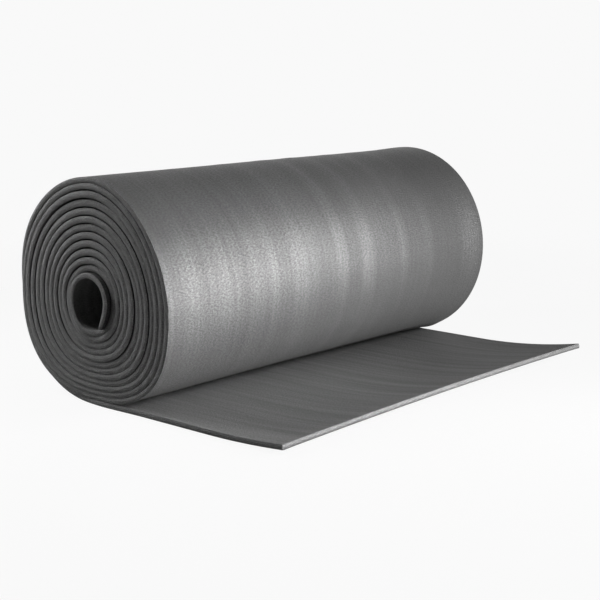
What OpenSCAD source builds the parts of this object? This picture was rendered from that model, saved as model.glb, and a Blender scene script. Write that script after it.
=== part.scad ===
// Roll of closed-cell foam insulation sheet, lying on the floor with its outer end unrolled.
// X runs along the roll, the free end lies towards -Y, and Z is up from the floor.

/* [Sheet] */
// Width of the sheet, which is the length of the roll
sheet_w = 1000; // [300:10:2000]
// Thickness of the foam
sheet_t = 10; // [6:0.5:14]

/* [Winding] */
// Turns of sheet in the roll
turns = 13; // [3:1:24]
// Height of the open heart inside the first turn
heart_h = 103; // [96:1:160]
// Slack between turns underneath, where the weight of the roll presses them together
slack_under = 1.8; // [1:0.1:6]
// Slack between turns over the top, where they lie loose
slack_over = 5.2; // [2:0.1:12]
// How far the slack between turns is open, inwards from each end of the roll
slack_depth = 30; // [5:1:100]
// Length of the outermost turn that lies flat on each side of the line under the roll; turns further in lie flat for less
rest_len = 86; // [0:1:110]

/* [Inner end] */
// Radius of the round way that is clear through the whole roll
bore_r = 40; // [15:0.5:41]
// Room between that way and the first turn at the back of the heart
bore_clear = 1; // [0.5:0.1:3]
// Radius that the outer face of the loose inner end curls to
tail_r = 48; // [44:0.5:52]
// Lean of the straight stretch after the curl, inwards from upright (degrees)
tail_lean = 17; // [5:1:20]
// Room between the tip of the inner end and the turn below it
tail_clear = 2; // [1:0.1:8]

/* [Free end] */
// Length of sheet that lies unrolled, from the line under the roll to the cut edge
free_len = 500; // [350:5:1500]
// Length of it that lies flat on the floor, next to the roll
flat_len = 170; // [100:5:300]
// Radius of the bend that the rest of it has kept from being rolled
curl_r = 3000; // [2000:50:8000]

/* [Hidden] */

// Facets of a drawn circle, and of the long bend of the free end
$fn = 180;
curl_fn = 1440;
// How far a cut runs past the face that it opens
overrun = 5;

// Front halves run from under(k) up to over(k), and back halves from over(k) down to under(k + 1)
last = turns - 1;
pitch_under = sheet_t + slack_under;
pitch_over = sheet_t + slack_over;
heart_z = under(1) + sheet_t + heart_h / 2;

// Height of the outer face of turn k underneath the roll, and over its top
function under(k) = (turns - k) * pitch_under;
function over(k) = heart_z + heart_h / 2 + sheet_t + k * pitch_over;

// Length of turn k that lies flat underneath, on each side of the roll's line
function rest(k) = rest_len * (max(k - 1, 0) / (last - 1)) ^ 2;

// Radius of the outer face of half of turn k, which is height h from its flat rest to its top
function half_r(h, k) = (h + rest(k) ^ 2 / h) / 2;
function front_r(k) = half_r(over(k) - under(k), k);
function back_r(k) = half_r(over(k) - under(k + 1), k);

// Height of the centre of each half turn
function front_z(k) = over(k) - front_r(k);
function back_z(k) = over(k) - back_r(k);

// The bore touches neither the back of the heart nor the loose end in front of it
bore_y = heart_h / 2 - bore_r - bore_clear;

// The loose inner end leaves the top of the first turn, curls, and then hangs straight to its tip
tail_z = over(0) - tail_r;
tail_start = tail_r * [-cos(tail_lean), -sin(tail_lean)] + [0, tail_z];
tail_way = [sin(tail_lean), -cos(tail_lean)];
floor_r = front_r(1) - sheet_t - tail_clear;
tail_offset = tail_start - [0, front_z(1)];
tail_along = tail_offset * tail_way;
tail_len = -tail_along + sqrt(floor_r ^ 2 - tail_offset * tail_offset + tail_along ^ 2);

// The free end bends through this angle, and reaches this far in front of the roll's line
curl_angle = (free_len - flat_len) / curl_r * 180 / PI;
free_reach = flat_len + curl_r * sin(curl_angle);
// The origin is under the middle of the whole object, so the roll's line lies behind it
roll_y = (free_reach - back_r(last)) / 2;

// Half of a disc on the back of the roll's line, cut off flat at height low
module back_half(r, z, low) {
    intersection() {
        translate([0, z]) circle(r);
        translate([0, low]) square([2 * r, z + 2 * r - low]);
    }
}

// Half of a disc on the front of the roll's line, cut off flat at height low
module front_half(r, z, low) {
    intersection() {
        translate([0, z]) circle(r);
        translate([-2 * r, low]) square([2 * r, z + 2 * r - low]);
    }
}

// Sheet bent round the point [0, z], from angle a0 to angle a1
module bent_sheet(outer_r, z, a0, a1, facets = $fn) {
    reach = 2 * outer_r;
    middle = (a0 + a1) / 2;
    translate([0, z])
        intersection() {
            difference() {
                circle(outer_r, $fn = facets);
                circle(outer_r - sheet_t, $fn = facets);
            }
            polygon([[0, 0], for (a = [a0, middle, a1]) reach * [cos(a), sin(a)]]);
        }
}

// The loose inner end in section: a curl and a straight stretch
module tail() {
    bent_sheet(tail_r, tail_z, 90, 180 + tail_lean);
    translate(tail_start)
        rotate(tail_lean - 90)
            square([tail_len, sheet_t]);
}

// The unrolled end in section: flat next to the roll, then bending up from the floor
module free_end() {
    translate([-flat_len, 0]) square([flat_len, sheet_t]);
    translate([-flat_len, 0])
        bent_sheet(curl_r, curl_r, 270 - curl_angle, 270, curl_fn);
}

// The whole roll in section, with no slack between its turns
module outline() {
    front_half(front_r(last), front_z(last), sheet_t);
    back_half(back_r(last), back_z(last), 0);
    free_end();
}

// The open spiral between the turns, from the heart to the unrolled sheet
module slack() {
    back_half(back_r(0) - sheet_t, back_z(0), under(1) + sheet_t);
    difference() {
        front_half(front_r(1) - sheet_t, front_z(1), under(1) + sheet_t);
        tail();
    }
    for (k = [1:last])
        difference() {
            back_half(back_r(k) - sheet_t, back_z(k), under(k + 1) + sheet_t);
            back_half(back_r(k - 1), back_z(k - 1), under(k));
        }
    for (k = [2:last])
        difference() {
            front_half(front_r(k) - sheet_t, front_z(k), under(k) + sheet_t);
            front_half(front_r(k - 1), front_z(k - 1), under(k - 1));
        }
    translate([-rest_len - overrun, sheet_t])
        square([rest_len + overrun, slack_under]);
}

// The one piece: a wound sheet, bored through, with its turns open at both ends
module foam_roll() {
    color("#6c6d6f")
        translate([0, roll_y, 0])
            rotate([90, 0, 90])
                difference() {
                    linear_extrude(sheet_w, center = true) outline();
                    translate([bore_y, heart_z])
                        cylinder(h = sheet_w + 2 * overrun, r = bore_r, center = true);
                    for (end = [-1, 1])
                        translate([0, 0, end * (sheet_w - slack_depth + overrun) / 2])
                            linear_extrude(slack_depth + overrun, center = true) slack();
                }
}

foam_roll();
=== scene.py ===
import math

import bpy
import numpy as np
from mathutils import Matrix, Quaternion, Vector


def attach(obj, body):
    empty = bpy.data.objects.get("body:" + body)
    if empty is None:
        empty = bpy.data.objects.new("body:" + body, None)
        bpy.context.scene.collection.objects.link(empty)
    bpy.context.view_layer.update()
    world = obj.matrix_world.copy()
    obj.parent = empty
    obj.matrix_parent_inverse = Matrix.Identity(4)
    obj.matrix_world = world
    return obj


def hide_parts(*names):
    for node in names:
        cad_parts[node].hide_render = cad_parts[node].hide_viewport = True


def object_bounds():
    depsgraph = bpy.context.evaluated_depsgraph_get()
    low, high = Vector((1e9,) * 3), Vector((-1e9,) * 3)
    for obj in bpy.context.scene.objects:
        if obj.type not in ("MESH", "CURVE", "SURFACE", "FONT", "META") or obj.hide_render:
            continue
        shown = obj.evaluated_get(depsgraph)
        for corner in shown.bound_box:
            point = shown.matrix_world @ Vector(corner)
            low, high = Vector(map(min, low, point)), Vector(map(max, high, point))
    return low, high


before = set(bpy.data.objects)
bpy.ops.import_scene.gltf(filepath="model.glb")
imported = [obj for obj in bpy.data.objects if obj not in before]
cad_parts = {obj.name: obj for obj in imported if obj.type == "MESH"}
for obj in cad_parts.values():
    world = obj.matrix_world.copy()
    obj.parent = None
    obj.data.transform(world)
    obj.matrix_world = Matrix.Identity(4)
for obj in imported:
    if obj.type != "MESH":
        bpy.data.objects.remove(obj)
solid_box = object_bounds()

# The winding. The roll is one length of closed-cell foam sheet, 1 m wide and 10 mm thick, wound without
# a core. It has slackened since: its turns lie loose over the top, press together underneath, and sag into
# ovals, more at the near end than at the far one.
sheet_width = 1.0
sheet_thick = 0.010
turns = 13
last_turn = turns - 1
free_from = turns - 0.5
slack_over = 0.00527
slack_under = 0.00013
heart_top = 0.2546
line_step = 0.003


def under(turn):
    """Height of a turn's outer face underneath, where the weight of the roll leaves hardly any slack."""
    below = turns - turn
    return below * (sheet_thick + slack_under * below)


def over(turn):
    """Height of a turn's outer face over the top."""
    return heart_top + sheet_thick + turn * (sheet_thick + slack_over)


heart_z = (heart_top + under(1) + sheet_thick) / 2


def half_turn(reach, low, top, widest, low_square, top_square):
    """Half a turn of the outer face, from the line under the roll up to its top: reach and height.

    Each quarter is an oval. Squareness 2 is a plain ellipse, more is fuller, and less has flatter shoulders.
    """
    quarter_points = 240
    sweep = np.linspace(0, math.pi / 2, quarter_points)
    low_out = np.sin(sweep) ** (2 / low_square)
    low_down = np.cos(sweep) ** (2 / low_square)
    top_out = np.cos(sweep[1:]) ** (2 / top_square)
    top_up = np.sin(sweep[1:]) ** (2 / top_square)
    y = reach * np.concatenate([low_out, top_out])
    z = np.concatenate([widest - (widest - low) * low_down, widest + (top - widest) * top_up])
    run = np.concatenate([[0], np.cumsum(np.hypot(np.diff(y), np.diff(z)))])
    even_run = np.linspace(0, run[-1], int(math.pi * (top - low) / 2 / line_step))
    return np.interp(even_run, run, y), np.interp(even_run, run, z)


def hanging_end():
    """The inner end, from its tip: a short straight fall, then a curl up to the top of the first turn."""
    curl_radius = 0.0555
    curl_points = 34
    fall_length = 0.0385
    fall_points = 13
    lean = math.radians(20)
    sweep = np.linspace(math.pi + lean, math.pi / 2, curl_points)
    curl_y = curl_radius * np.cos(sweep)
    curl_z = over(0) - curl_radius + curl_radius * np.sin(sweep)
    fall = np.linspace(fall_length, line_step, fall_points)
    y = np.concatenate([curl_y[0] + fall * math.sin(lean), curl_y])
    z = np.concatenate([curl_z[0] - fall * math.cos(lean), curl_z])
    return y, z


def ease(value, start, end):
    """0 before start, 1 after end, and smooth between."""
    share = np.clip((value - start) / (end - start), 0, 1)
    return share * share * (3 - 2 * share)


def eased(line, rounds):
    """A line of values with every sharp change in it softened."""
    for _ in range(rounds):
        line[1:-1] = (line[:-2] + 2 * line[1:-1] + line[2:]) / 4
    return line


def free_end(reach, flat, lift, gap):
    """The unrolled end: all but flat on the floor next to the roll, then bent up as it was rolled.

    gap is the room under its flat stretch, which opens a little in front of the line under the roll.
    """
    free_points = 168
    gap_start = 0.03
    gap_end = 0.15
    y = np.linspace(0, reach, free_points)[1:]
    z = lift * (np.maximum(y - flat, 0) / (reach - flat)) ** 2 + gap * ease(y, gap_start, gap_end)
    return -y, z


def outer_line(front, back, widest, squareness, free, sags):
    """The sheet's outer face in section from its inner end: distance behind the roll's line, height, turns.

    front, back and widest are the first turn's reach or height and the last one's. squareness is that of
    the last turn's quarters: front low, front top, back low, back top. free is what free_end takes.
    Each sag has its middle turn, how many turns it spreads to, degrees round from the front over the top,
    how many degrees it spreads to, and millimetres outwards.
    """
    tip_turn = -0.6
    end_y, end_z = hanging_end()
    all_y = [end_y]
    all_z = [end_z]
    all_turns = [np.linspace(tip_turn, 0, len(end_y))]
    for turn in range(turns):
        grown = turn / last_turn
        wide_z = widest[0] + (widest[1] - widest[0]) * grown
        front_low, front_top, back_low, back_top = [2 + (quarter - 2) * grown for quarter in squareness]
        if turn:
            reach = front[0] + (front[1] - front[0]) * grown
            y, z = half_turn(reach, under(turn), over(turn), wide_z, front_low, front_top)
            all_y.append(-y[1:])
            all_z.append(z[1:])
            all_turns.append(np.linspace(turn - 0.5, turn, len(y))[1:])
        reach = back[0] + (back[1] - back[0]) * grown
        y, z = half_turn(reach, under(turn + 1), over(turn), wide_z, back_low, back_top)
        all_y.append(y[-2::-1])
        all_z.append(z[-2::-1])
        all_turns.append(np.linspace(turn, turn + 0.5, len(y))[1:])
    free_y, free_z = free_end(*free)
    all_y.append(free_y)
    all_z.append(free_z)
    all_turns.append(np.linspace(free_from, turns, len(free_y) + 1)[1:])
    y = np.concatenate(all_y)
    z = np.concatenate(all_z)
    turn = np.concatenate(all_turns)

    # The sags fade out before the free end, and none goes lower than the turns that carry it.
    fade_turns = 0.1
    around = np.degrees(np.arctan2(z - heart_z, -y))
    away = np.hypot(y, z - heart_z)
    wound = np.clip((free_from - turn) / fade_turns, 0, 1)
    out = np.zeros(len(y))
    for middle, spread, degrees, width, push in sags:
        apart = (around - degrees + 180) % 360 - 180
        out += wound * push / 1000 * np.exp(-(apart / width) ** 2 - ((turn - middle) / spread) ** 2)
    y = y + out * y / away
    z = z + out * (z - heart_z) / away
    lowest = np.interp(turn, np.arange(0.5, turns), [under(k) for k in range(1, turns + 1)])
    z = np.maximum(z, lowest)

    # Foam can't crease, so every change of bend is eased over about a centimetre.
    bend_rounds = 10
    return eased(y, bend_rounds), eased(z, bend_rounds), turn


near_free_reach = 0.506
near_y, near_z, line_turn = outer_line(
    front=(0.0574, 0.221),
    back=(0.061, 0.2344),
    widest=(0.207, 0.207),
    squareness=(2.55, 1.80, 2.40, 2.02),
    free=(near_free_reach, 0.320, 0.0085, 0.0015),
    sags=[
        (1.8, 2.2, 90, 50, -4.0), (3.5, 2.0, 0, 45, -5.0), (9.6, 2.0, 0, 45, -4.5),
        (9.0, 2.5, -45, 30, 2.5), (0.0, 0.6, 180, 50, -3.5), (6.3, 1.6, 180, 40, -3.0),
        (10.2, 1.2, 90, 60, 3.0), (11.0, 0.5, 90, 60, 1.8)])
far_y, far_z, _ = outer_line(
    front=(0.0570, 0.2200),
    back=(0.061, 0.2290),
    widest=(0.203, 0.228),
    squareness=(2.0, 2.0, 2.2, 2.0),
    free=(0.486, 0.225, 0.0265, 0),
    sags=[(7.0, 2.0, 60, 40, -3.0), (4.0, 1.5, 190, 60, -4.0), (9.0, 2.0, 20, 50, -2.5)])

# Stations along the sheet where its section is drawn: close together where it bends tightly or shows most,
# with a narrow strip at each end for the corner of the cut.
end_strip = 0.0012
heart_step = 0.006
step_growth = 0.0012
hidden_step = 0.0125
barrel_step = 0.0085
barrel_from = last_turn - 0.6
line_run = np.concatenate([[0], np.cumsum(np.hypot(np.diff(near_y), np.diff(near_z)))])
station_run = [0.0, end_strip]
while station_run[-1] < line_run[-1] - end_strip:
    turn_here = np.interp(station_run[-1], line_run, line_turn)
    step = min(heart_step + step_growth * max(turn_here, 0), hidden_step)
    if turn_here > barrel_from:
        step = barrel_step
    station_run.append(station_run[-1] + step)
station_run = np.array(station_run[:-1] + [line_run[-1] - end_strip, line_run[-1]])
station_turn = np.interp(station_run, line_run, line_turn)


def at_stations(line_y, line_z):
    """A section line at the stations: its places and the directions that its outer face looks in."""
    y = np.interp(station_run, line_run, line_y)
    z = np.interp(station_run, line_run, line_z)
    along_y = np.interp(station_run, line_run, np.gradient(line_y))
    along_z = np.interp(station_run, line_run, np.gradient(line_z))
    length = np.hypot(along_y, along_z)
    return np.stack([y, z, -along_z / length, along_y / length], 1)


near_stations = at_stations(near_y, near_z)
far_stations = at_stations(far_y, far_z)

# The sheet across its width. Its long edges were cut with a knife, so they are square, with soft corners and
# a slight crown, and the cut foam has swollen into the room that the turns leave each other.
half = sheet_width / 2
corner = 0.0010
corner_turns = np.radians([30, 60, 90])
crown = 0.0014
crown_depths = np.array([0.0027, 0.0050, 0.0073])
edge_columns = np.array([corner, 0.0025, 0.009, 0.026])
edge_count = len(edge_columns)
edge_points = 2 * len(corner_turns) + len(crown_depths)
edge_margin = 0.05

# A face has a few wide spans on the hidden turns, which are split on the turn that shows.
spans = 4
outer_split = 28
inner_split = 7
fine_from = last_turn - 0.55


def face_columns(split):
    """Places across the sheet where a face has a row of points, from the near edge to the far one."""
    middle = np.linspace(-half + edge_margin, half - edge_margin, spans * split + 1)
    return np.concatenate([edge_columns - half, middle, half - edge_columns[::-1]])


def section_ring(outer, inner):
    """A ring round the sheet: place across, depth below the outer face, and 1 on the cut edges."""
    round_across = half - corner + corner * np.sin(corner_turns)
    round_depth = corner - corner * np.cos(corner_turns)
    crown_across = half + crown * (1 - (crown_depths / sheet_thick * 2 - 1) ** 2)
    edge_across = np.concatenate([round_across, crown_across, round_across[::-1]])
    edge_depth = np.concatenate([round_depth, crown_depths, sheet_thick - round_depth[::-1]])
    across = np.concatenate([outer, edge_across, inner[::-1], -edge_across[::-1]])
    depth = np.concatenate([0 * outer, edge_depth, 0 * inner + sheet_thick, edge_depth[::-1]])
    cut = np.concatenate([0 * outer, 0 * edge_depth + 1, 0 * inner, 0 * edge_depth + 1])
    return across, depth, cut


outer_columns = face_columns(outer_split)
inner_columns = face_columns(inner_split)
coarse_ring = section_ring(face_columns(1), face_columns(1))
fine_ring = section_ring(outer_columns, inner_columns)

heart_out = 0.009
last_in = 0.015
slow_wander = 0.0010
quick_wander = 0.0007
last_steadiness = 0.7


def slide(turn):
    """How far the sheet has slid along the roll: the heart stands out of the near end, the last turn in."""
    heart = -heart_out * (1 - ease(turn, 0.40, 0.60))
    pushed = ease(turn, last_turn + 0.14, last_turn + 0.31)
    let_go = ease(turn, last_turn + 0.37, last_turn + 0.53)
    wander = slow_wander * math.sin(2.3 * turn + 0.4) + quick_wander * math.sin(7.9 * turn)
    steady = last_steadiness * ease(turn, last_turn - 1, last_turn)
    return heart + last_in * pushed * (1 - let_go) + wander * (1 - steady)


swell_alone = 0.0002
swell_most = 0.0025
swell_reach = 0.012
swell_rounds = 3
usual_fill = 0.78
more_in_front = 0.17
less_at_loosest = 0.30
loosest = math.radians(125)


def swelling(stations):
    """How far the cut foam swells outwards and inwards: into much of the room that its neighbours leave it.

    It fills most of it in front and least where the turns lie loosest. Where two turns would run into each
    other they press each other thinner.
    """
    y, z, out_y, out_z = stations.T
    around = np.unwrap(np.arctan2(z - heart_z, -y))
    away = np.hypot(y, z - heart_z)
    square_on = (out_y * y + out_z * (z - heart_z)) / away
    most = np.where(station_turn > free_from, swell_alone, swell_most)
    in_front = np.maximum(np.cos(around), 0)
    at_loosest = np.maximum(np.cos(around - loosest), 0)
    filled = usual_fill + more_in_front * in_front - less_at_loosest * at_loosest
    both_ways = []
    for full_turn in (2 * math.pi, -2 * math.pi):
        beside = around + full_turn
        room = np.abs(np.interp(beside, around, away) - away) * square_on - sheet_thick
        grown = np.where(room > 0, np.minimum(filled * room / 2, most), room / 2)
        has_neighbour = (beside > around[0]) & (beside < around[-1]) & (room < 2 * sheet_thick)
        both_ways.append(eased(np.where(has_neighbour, grown, swell_alone), swell_rounds))
    return np.stack(both_ways, 1)


near_swelling = swelling(near_stations)
far_swelling = swelling(far_stations)

# Winding has left shiny bands round the barrel: the place of each across the sheet, and its strength.
bands = [
    (-0.42, 0.20), (-0.36, 0.10), (-0.27, 0.20), (-0.21, 0.15), (-0.12, 0.50), (-0.06, 0.10), (0.0, 0.75),
    (0.09, 1.00), (0.15, 0.15), (0.21, 0.60), (0.30, 0.45), (0.39, 0.20), (0.43, 0.75), (0.455, 0.90),
    (0.48, 0.90)]
band_width = 0.016
band_drift = 0.006
band_rise = 0.0008
rim_flare = 0.0016
rim_reach = 0.06
dent_depth = 0.0005


def banding(across, run):
    """How strong the bands round the barrel are, where the skin is a little raised and shiny."""
    drift = band_drift * math.sin(4.1 * run)
    strength = 0 * across
    for number, (place, peak) in enumerate(bands):
        swing = 0.9 + 0.1 * math.sin(9 * run + 2 * number)
        strength = strength + swing * peak * np.exp(-((across - place - drift) / band_width) ** 2)
    return strength


def ripple(across, run):
    """How far the outermost turn stands off a smooth barrel: bands, a flared rim, broad shallow dents."""
    rim = rim_flare * np.exp(-((across - half) / rim_reach) ** 2)
    dents = np.sin(9 * across + 5 * run) * np.sin(13 * run - 4 * across + 0.7)
    return band_rise * banding(across, run) + rim + dent_depth * dents


# One ring of points round the sheet at each station. The near end's sags die away along the roll, the free
# end's middle arches up towards its cut, and both cuts across the sheet are nearly as smooth as its faces.
sag_decay = 1.6
barrel_ease = 0.1
barrel_to = turns - 0.72
free_ease = 0.05
arch_rise = 0.0055
arch_from = 0.4
end_cut = 0.12
points = []
places = []
cut_share = []
inside_share = []
band_share = []
ring_starts = []
for station, (run, turn) in enumerate(zip(station_run, station_turn)):
    near = near_stations[station]
    far = far_stations[station]
    fine = turn > fine_from
    across, depth, cut = fine_ring if fine else coarse_ring
    far_share = np.clip(across / sheet_width + 0.5, 0, 1)
    far_share = 1 - (1 - far_share) ** (sag_decay if turn < free_from else 1)
    y, z, out_y, out_z = near[:, None] + (far - near)[:, None] * far_share
    edge_gap = half - np.minimum(np.abs(across), half)
    near_swell = near_swelling[station][:, None]
    far_swell = far_swelling[station][:, None]
    swell = near_swell + (far_swell - near_swell) * far_share
    outwards, inwards = np.where(swell > 0, swell * np.exp(-(edge_gap / swell_reach) ** 2), swell)
    below = depth - outwards + (outwards + inwards) * depth / sheet_thick
    if fine:
        risen = ease(turn, fine_from, fine_from + barrel_ease)
        sunk = ease(turn, barrel_to, barrel_to + barrel_ease)
        below = below - risen * (1 - sunk) * ripple(across, run)
    free = ease(turn, free_from, free_from + free_ease)
    arch = max(max(-near[0], 0) / near_free_reach - arch_from, 0) / (1 - arch_from)
    z = z + free * arch_rise * (1 - (across / half) ** 2) * arch ** 2
    ring_starts.append(len(points))
    points += zip(across + slide(turn), y - out_y * below, z - out_z * below)
    if station in (0, len(station_run) - 1):
        places += zip(across, run + below, 0 * across)
        cut_share += list(np.maximum(cut, end_cut))
    else:
        places += zip(across + below, run + 0 * across, 0 * across)
        cut_share += list(cut)
    inside_share += list(np.where(depth > sheet_thick / 2, 1.0, 0.0))
    band_share += list(banding(across, run))
ring_starts.append(len(points))

# Each ring is joined to the next one.
faces = []
for here, there, after in zip(ring_starts, ring_starts[1:], ring_starts[2:]):
    count = there - here
    if after - there == count:
        for place in range(count):
            beside = (place + 1) % count
            faces.append((here + place, here + beside, there + beside, there + place))
        continue

    # Here the wide spans of the hidden turns meet the narrow ones of the turn that shows.
    fine_places = [0]
    for split in (outer_split, inner_split):
        strides = [1] * edge_count + [split] * spans + [1] * (edge_count + edge_points + 1)
        fine_places += list(fine_places[-1] + np.cumsum(strides))
    for place in range(count):
        beside = (place + 1) % count
        run = [there + k % (after - there) for k in range(fine_places[place], fine_places[place + 1] + 1)]
        faces.append((here + place, here + beside, *reversed(run)))

# Both ends of the sheet are knife cuts straight across it. The outer one joins its many points on the skin
# to the fewer ones on the inner side.
faces.append(tuple(reversed(range(ring_starts[0], ring_starts[1]))))
outer_first = ring_starts[-2]
inner_first = outer_first + len(outer_columns) + edge_points
inner_last = inner_first + len(inner_columns) - 1
strides = [1] * edge_count + [outer_split // inner_split] * (spans * inner_split) + [1] * edge_count
outer_places = outer_first + np.concatenate([[0], np.cumsum(strides)])
for place, (start, end) in enumerate(zip(outer_places, outer_places[1:])):
    faces.append((*range(start, end + 1), inner_last - place - 1, inner_last - place))
faces.append(tuple(range(outer_first + len(outer_columns) - 1, inner_first + 1)))
faces.append((*range(inner_last, ring_starts[-1]), outer_first))

# The back of the roll lies on the back of the solid's box. Each point carries its place on the flat sheet,
# for the grain, and whether it is on a cut, on the inner side or in a band.
back_reach = 0.2318
roll_y = solid_box[1].y - back_reach
mesh = bpy.data.meshes.new("foam_sheet")
mesh.from_pydata([(x, y + roll_y, z) for x, y, z in points], [], faces)
mesh.shade_smooth()
mesh.attributes.new("place", "FLOAT_VECTOR", "POINT").data.foreach_set("vector", np.array(places).ravel())
mesh.attributes.new("cut", "FLOAT", "POINT").data.foreach_set("value", np.array(cut_share))
mesh.attributes.new("inside", "FLOAT", "POINT").data.foreach_set("value", np.array(inside_share))
mesh.attributes.new("band", "FLOAT", "POINT").data.foreach_set("value", np.array(band_share))
mesh.update()
sheet = bpy.data.objects.new("foam_sheet", mesh)
bpy.context.collection.objects.link(sheet)
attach(sheet, "root")
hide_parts("foam_roll")

# The foam itself is dark grey polyethylene. Its outer skin came satin and finely grained off the rollers,
# its inner side is matter with faint streaks along the sheet, and its cut edges show open cells.
foam = bpy.data.materials.new("foam")
foam.use_nodes = True
foam_tree = foam.node_tree
foam_shader = foam_tree.nodes["Principled BSDF"]


def foam_node(kind, inputs, **settings):
    """A node of the foam, with its settings and with a value or a link on each named input."""
    node = foam_tree.nodes.new(kind)
    for name, value in settings.items():
        setattr(node, name, value)
    for name, value in inputs.items():
        if isinstance(value, bpy.types.NodeSocket):
            foam_tree.links.new(value, node.inputs[name])
        else:
            node.inputs[name].default_value = value
    return node


def on_sheet(name):
    """A value or vector that the mesh carries on its points."""
    return foam_node("ShaderNodeAttribute", {}, attribute_name=name)


sheet_place = on_sheet("place").outputs["Vector"]
inside_here = on_sheet("inside").outputs["Fac"]
cut_here = on_sheet("cut").outputs["Fac"]
band_here = on_sheet("band").outputs["Fac"]


def spread_out(scale):
    """The place on the sheet, stretched by so much across it and along it."""
    return foam_node("ShaderNodeVectorMath", {0: sheet_place, 1: scale}, operation="MULTIPLY").outputs[0]


def speckle(across, along, detail, roughness, turn=0):
    """Noise on the sheet, with so many specks to the metre across it and along it, and its grid turned."""
    spread = spread_out((across, along, 0))
    turned = foam_node("ShaderNodeVectorRotate", {"Vector": spread, "Angle": math.radians(turn)})
    noise = foam_node(
        "ShaderNodeTexNoise",
        {"Vector": turned.outputs[0], "Scale": 1.0, "Detail": detail, "Roughness": roughness},
        noise_dimensions="2D")
    return noise.outputs[0]


def cells(count):
    """Foam cells on the sheet, with so many to the metre: how far each point is from its cell's middle."""
    spread = spread_out((count, count, count))
    grid = foam_node("ShaderNodeTexVoronoi", {"Vector": spread, "Scale": 1.0}, voronoi_dimensions="2D")
    return grid.outputs["Distance"]


def span(value, low, high, start=0.3, end=0.7):
    """The value's usual range, start to end, stretched to low to high."""
    mapped = foam_node(
        "ShaderNodeMapRange",
        {"Value": value, "From Min": start, "From Max": end, "To Min": low, "To Max": high})
    return mapped.outputs["Result"]


def times(first, second):
    """The product of two values."""
    return foam_node("ShaderNodeMath", {0: first, 1: second}, operation="MULTIPLY").outputs[0]


def plus(first, second):
    """The sum of two values."""
    return foam_node("ShaderNodeMath", {0: first, 1: second}, operation="ADD").outputs[0]


def by_side(skin, inside, cut):
    """Skin on the outer face, inside on the inner one, and cut on the cut edges."""
    both_faces = foam_node("ShaderNodeMix", {0: inside_here, 2: skin, 3: inside})
    return foam_node("ShaderNodeMix", {0: cut_here, 2: both_faces.outputs[0], 3: cut}).outputs[0]


skin_grain = speckle(180, 290, 2, 0.65, 33)
fine_grain = speckle(330, 480, 1, 0.5, 57)
drawn_streaks = speckle(60, 1.6, 4, 0.6)
clouds = speckle(7, 5, 2, 0.5)
soft_bands = speckle(32, 0.7, 3, 0.6)
skin_streaks = speckle(130, 2.5, 3, 0.6)
knife_streaks = speckle(650, 45, 2, 0.6)
open_cells = cells(430)

skin_tone = times(span(skin_grain, 0.087, 0.101), span(clouds, 0.96, 1.04))
inside_tone = times(span(skin_grain, 0.178, 0.236), span(drawn_streaks, 0.83, 1.17))
cut_tone = times(span(open_cells, 0.220, 0.360, 0.1, 0.8), span(knife_streaks, 0.78, 1.22))
tone = by_side(skin_tone, inside_tone, cut_tone)

gloss = by_side(span(skin_grain, 0.42, 0.34), span(fine_grain, 0.62, 0.74), 0.9)

streaked = times(span(soft_bands, 0.85, 1.15), span(skin_streaks, 0.72, 1.28))
skin_shine = times(span(skin_grain, 0.22, 0.84), times(span(band_here, 0.86, 3.5, 0, 2), streaked))
shine = by_side(skin_shine, 0.3, 0.5)

skin_relief = plus(span(skin_grain, 0, 0.65, 0.1, 0.9), span(fine_grain, 0, 0.30, 0.1, 0.9))
inside_relief = plus(span(skin_grain, 0, 0.4), span(drawn_streaks, 0, 0.25))
cut_relief = plus(span(open_cells, 0, 0.6, 0.1, 0.8), span(knife_streaks, 0, 0.9))
relief_height = by_side(skin_relief, inside_relief, cut_relief)
relief = foam_node("ShaderNodeBump", {"Height": relief_height, "Distance": 0.001})

foam_tree.links.new(tone, foam_shader.inputs["Base Color"])
foam_tree.links.new(gloss, foam_shader.inputs["Roughness"])
foam_tree.links.new(shine, foam_shader.inputs["Specular IOR Level"])
foam_tree.links.new(relief.outputs["Normal"], foam_shader.inputs["Normal"])
mesh.materials.append(foam)

# The floor is a plain white studio floor, like a paper sweep under many lamps. It shows bright, throws only
# a little light up at the foam, and fades out into the white behind it. It lies a hair under the sheet, so
# that the two never share a plane.
floor_half = 6
floor_drop = 0.0003
fade_start = 0.9
fade_end = 2.6
floor_mesh = bpy.data.meshes.new("floor")
floor_corners = [(x * floor_half, y * floor_half, 0) for x, y in ((-1, -1), (1, -1), (1, 1), (-1, 1))]
floor_mesh.from_pydata(floor_corners, [], [(0, 1, 2, 3)])
floor = bpy.data.objects.new("floor", floor_mesh)
floor.location.z = -floor_drop
bpy.context.collection.objects.link(floor)

paint = bpy.data.materials.new("floor_paint")
paint.use_nodes = True
paint_tree = paint.node_tree
paint_shader = paint_tree.nodes["Principled BSDF"]
paint_shader.inputs["Base Color"].default_value = (0.06, 0.06, 0.06, 1)
paint_shader.inputs["Roughness"].default_value = 1.0
paint_shader.inputs["Specular IOR Level"].default_value = 0.0
paint_shader.inputs["Emission Color"].default_value = (1, 1, 1, 1)
floor_ray = paint_tree.nodes.new("ShaderNodeLightPath")
floor_glow = paint_tree.nodes.new("ShaderNodeMapRange")
floor_glow.inputs["To Min"].default_value = 0.10
floor_glow.inputs["To Max"].default_value = 0.92
paint_tree.links.new(floor_ray.outputs["Is Camera Ray"], floor_glow.inputs["Value"])
paint_tree.links.new(floor_glow.outputs["Result"], paint_shader.inputs["Emission Strength"])

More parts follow.
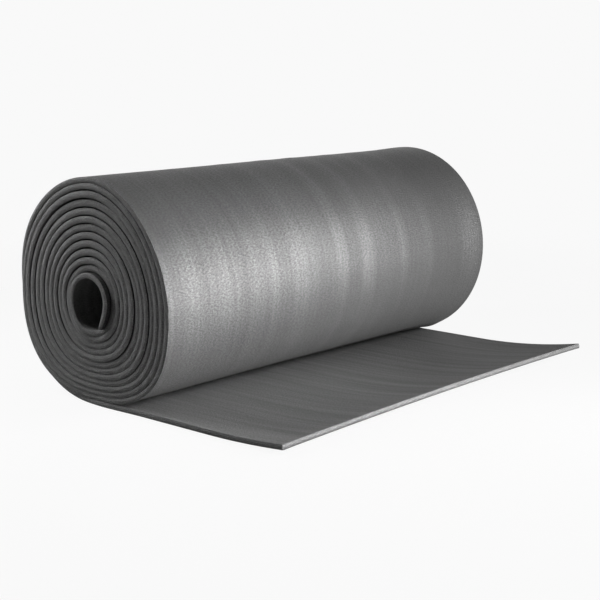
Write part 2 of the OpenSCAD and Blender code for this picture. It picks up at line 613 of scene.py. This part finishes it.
floor_place = paint_tree.nodes.new("ShaderNodeTexCoord")
from_middle = paint_tree.nodes.new("ShaderNodeVectorMath")
from_middle.operation = "LENGTH"
fade_out = paint_tree.nodes.new("ShaderNodeMapRange")
fade_out.interpolation_type = "SMOOTHSTEP"
fade_out.inputs["From Min"].default_value = fade_start
fade_out.inputs["From Max"].default_value = fade_end
fade_out.inputs["To Min"].default_value = 1.0
fade_out.inputs["To Max"].default_value = 0.0
paint_tree.links.new(floor_place.outputs["Object"], from_middle.inputs[0])
paint_tree.links.new(from_middle.outputs["Value"], fade_out.inputs["Value"])
paint_tree.links.new(fade_out.outputs["Result"], paint_shader.inputs["Alpha"])
floor_mesh.materials.append(paint)


# The lamps are studio softboxes. Three keys on the right draw the long highlight on the barrel, one lamp
# overhead and one high in front fill it, a strip at floor level lights the foot of the roll and the front
# cut, and three smaller ones on the left, behind the roll, light the near end.
def softbox(name, place, target, width, height, lean, spread, power):
    """A rectangular lamp in watts that faces the target, leaning, with its light held to so many degrees."""
    light = bpy.data.lights.new(name, "AREA")
    light.shape = "RECTANGLE"
    light.size = width
    light.size_y = height
    light.spread = math.radians(spread)
    light.energy = power
    lamp = bpy.data.objects.new(name, light)
    lamp.location = place
    facing = (Vector(target) - Vector(place)).to_track_quat("-Z", "Y")
    lamp.rotation_euler = (facing @ Quaternion((0, 0, 1), math.radians(lean))).to_euler()
    bpy.context.collection.objects.link(lamp)


softbox("key", (0.76, -1.04, 0.59), (-0.60, -0.08, 0.25), 0.25, 0.9, -33, 60, 2.45)
softbox("low_key", (0.80, -1.17, 0.28), (-0.50, -0.08, 0.25), 0.3, 0.3, 0, 70, 0.55)
softbox("far_key", (1.62, -1.19, 0.50), (0.45, -0.08, 0.25), 0.3, 0.6, 0, 60, 0.22)
softbox("overhead", (0.10, -0.80, 2.20), (0, -0.20, 0.15), 1.4, 1.0, 0, 180, 2.0)
softbox("front_fill", (0.30, -2.10, 1.10), (0, -0.10, 0.15), 2.0, 0.7, 0, 180, 28)
softbox("floor_fill", (0.60, -2.50, 0.03), (0, -0.10, 0.05), 1.2, 0.05, 0, 180, 69)
softbox("end_fill", (-1.60, 1.20, 0.90), (-0.50, 0.13, 0.25), 0.6, 0.6, 0, 180, 2.6)
softbox("end_left", (-0.95, 0.90, 0.45), (-0.50, 0.20, 0.25), 0.3, 0.3, 0, 180, 1.5)
softbox("end_rim", (-0.78, 1.00, 1.20), (-0.50, 0.13, 0.25), 0.4, 0.4, 0, 180, 8.0)

# The studio has a pale backdrop behind the object, which shines back over the barrel's top and the free
# end. Everything else round it is all but dark, so that the lamps shape the foam, though the picture shows
# plain white paper on all sides.
world = bpy.data.worlds.new("studio")
bpy.context.scene.world = world
world.use_nodes = True
world_tree = world.node_tree
backdrop_light = world_tree.nodes["Background"]
backdrop_light.inputs["Color"].default_value = (1, 1, 1, 1)
look = world_tree.nodes.new("ShaderNodeTexCoord")
towards_back = world_tree.nodes.new("ShaderNodeVectorMath")
towards_back.operation = "DOT_PRODUCT"
towards_back.inputs[1].default_value = (0.80, 0.58, 0.16)
backdrop = world_tree.nodes.new("ShaderNodeMapRange")
backdrop.interpolation_type = "SMOOTHSTEP"
backdrop.inputs["From Min"].default_value = 0.90
backdrop.inputs["From Max"].default_value = 1.0
backdrop.inputs["To Min"].default_value = 0.011
backdrop.inputs["To Max"].default_value = 0.745
world_tree.links.new(look.outputs["Generated"], towards_back.inputs[0])
world_tree.links.new(towards_back.outputs["Value"], backdrop.inputs["Value"])
world_tree.links.new(backdrop.outputs["Result"], backdrop_light.inputs["Strength"])

paper = world_tree.nodes.new("ShaderNodeBackground")
paper.inputs["Color"].default_value = (0.947, 0.947, 0.947, 1)
paper_ray = world_tree.nodes.new("ShaderNodeLightPath")
seen = world_tree.nodes.new("ShaderNodeMixShader")
world_tree.links.new(paper_ray.outputs["Is Camera Ray"], seen.inputs["Fac"])
world_tree.links.new(backdrop_light.outputs["Background"], seen.inputs[1])
world_tree.links.new(paper.outputs["Background"], seen.inputs[2])
world_tree.links.new(seen.outputs["Shader"], world_tree.nodes["World Output"].inputs["Surface"])

# The camera stands where the photograph was taken from: low, off the near end's corner, with a long lens.
# The roll lies off the picture's middle, so the lens is shifted a little. The plain view transform shows the
# greys as they are lit.
azimuth = math.radians(-46.68)
elevation = math.radians(9.135)
camera_distance = 3.124
camera_target = Vector((0, roll_y + 0.004, 0.22))
camera_data = bpy.data.cameras.new("camera")
camera_data.lens = 85.37
camera_data.sensor_width = 36
camera_data.shift_x = 0.0557
camera_data.shift_y = -0.0593
camera = bpy.data.objects.new("camera", camera_data)
level = math.cos(elevation)
back = Vector((math.sin(azimuth) * level, -math.cos(azimuth) * level, math.sin(elevation)))
camera.location = camera_target + camera_distance * back
camera.rotation_euler = (-back).to_track_quat("-Z", "Y").to_euler()
bpy.context.collection.objects.link(camera)
bpy.context.scene.camera = camera
bpy.context.scene.view_settings.view_transform = "Standard"
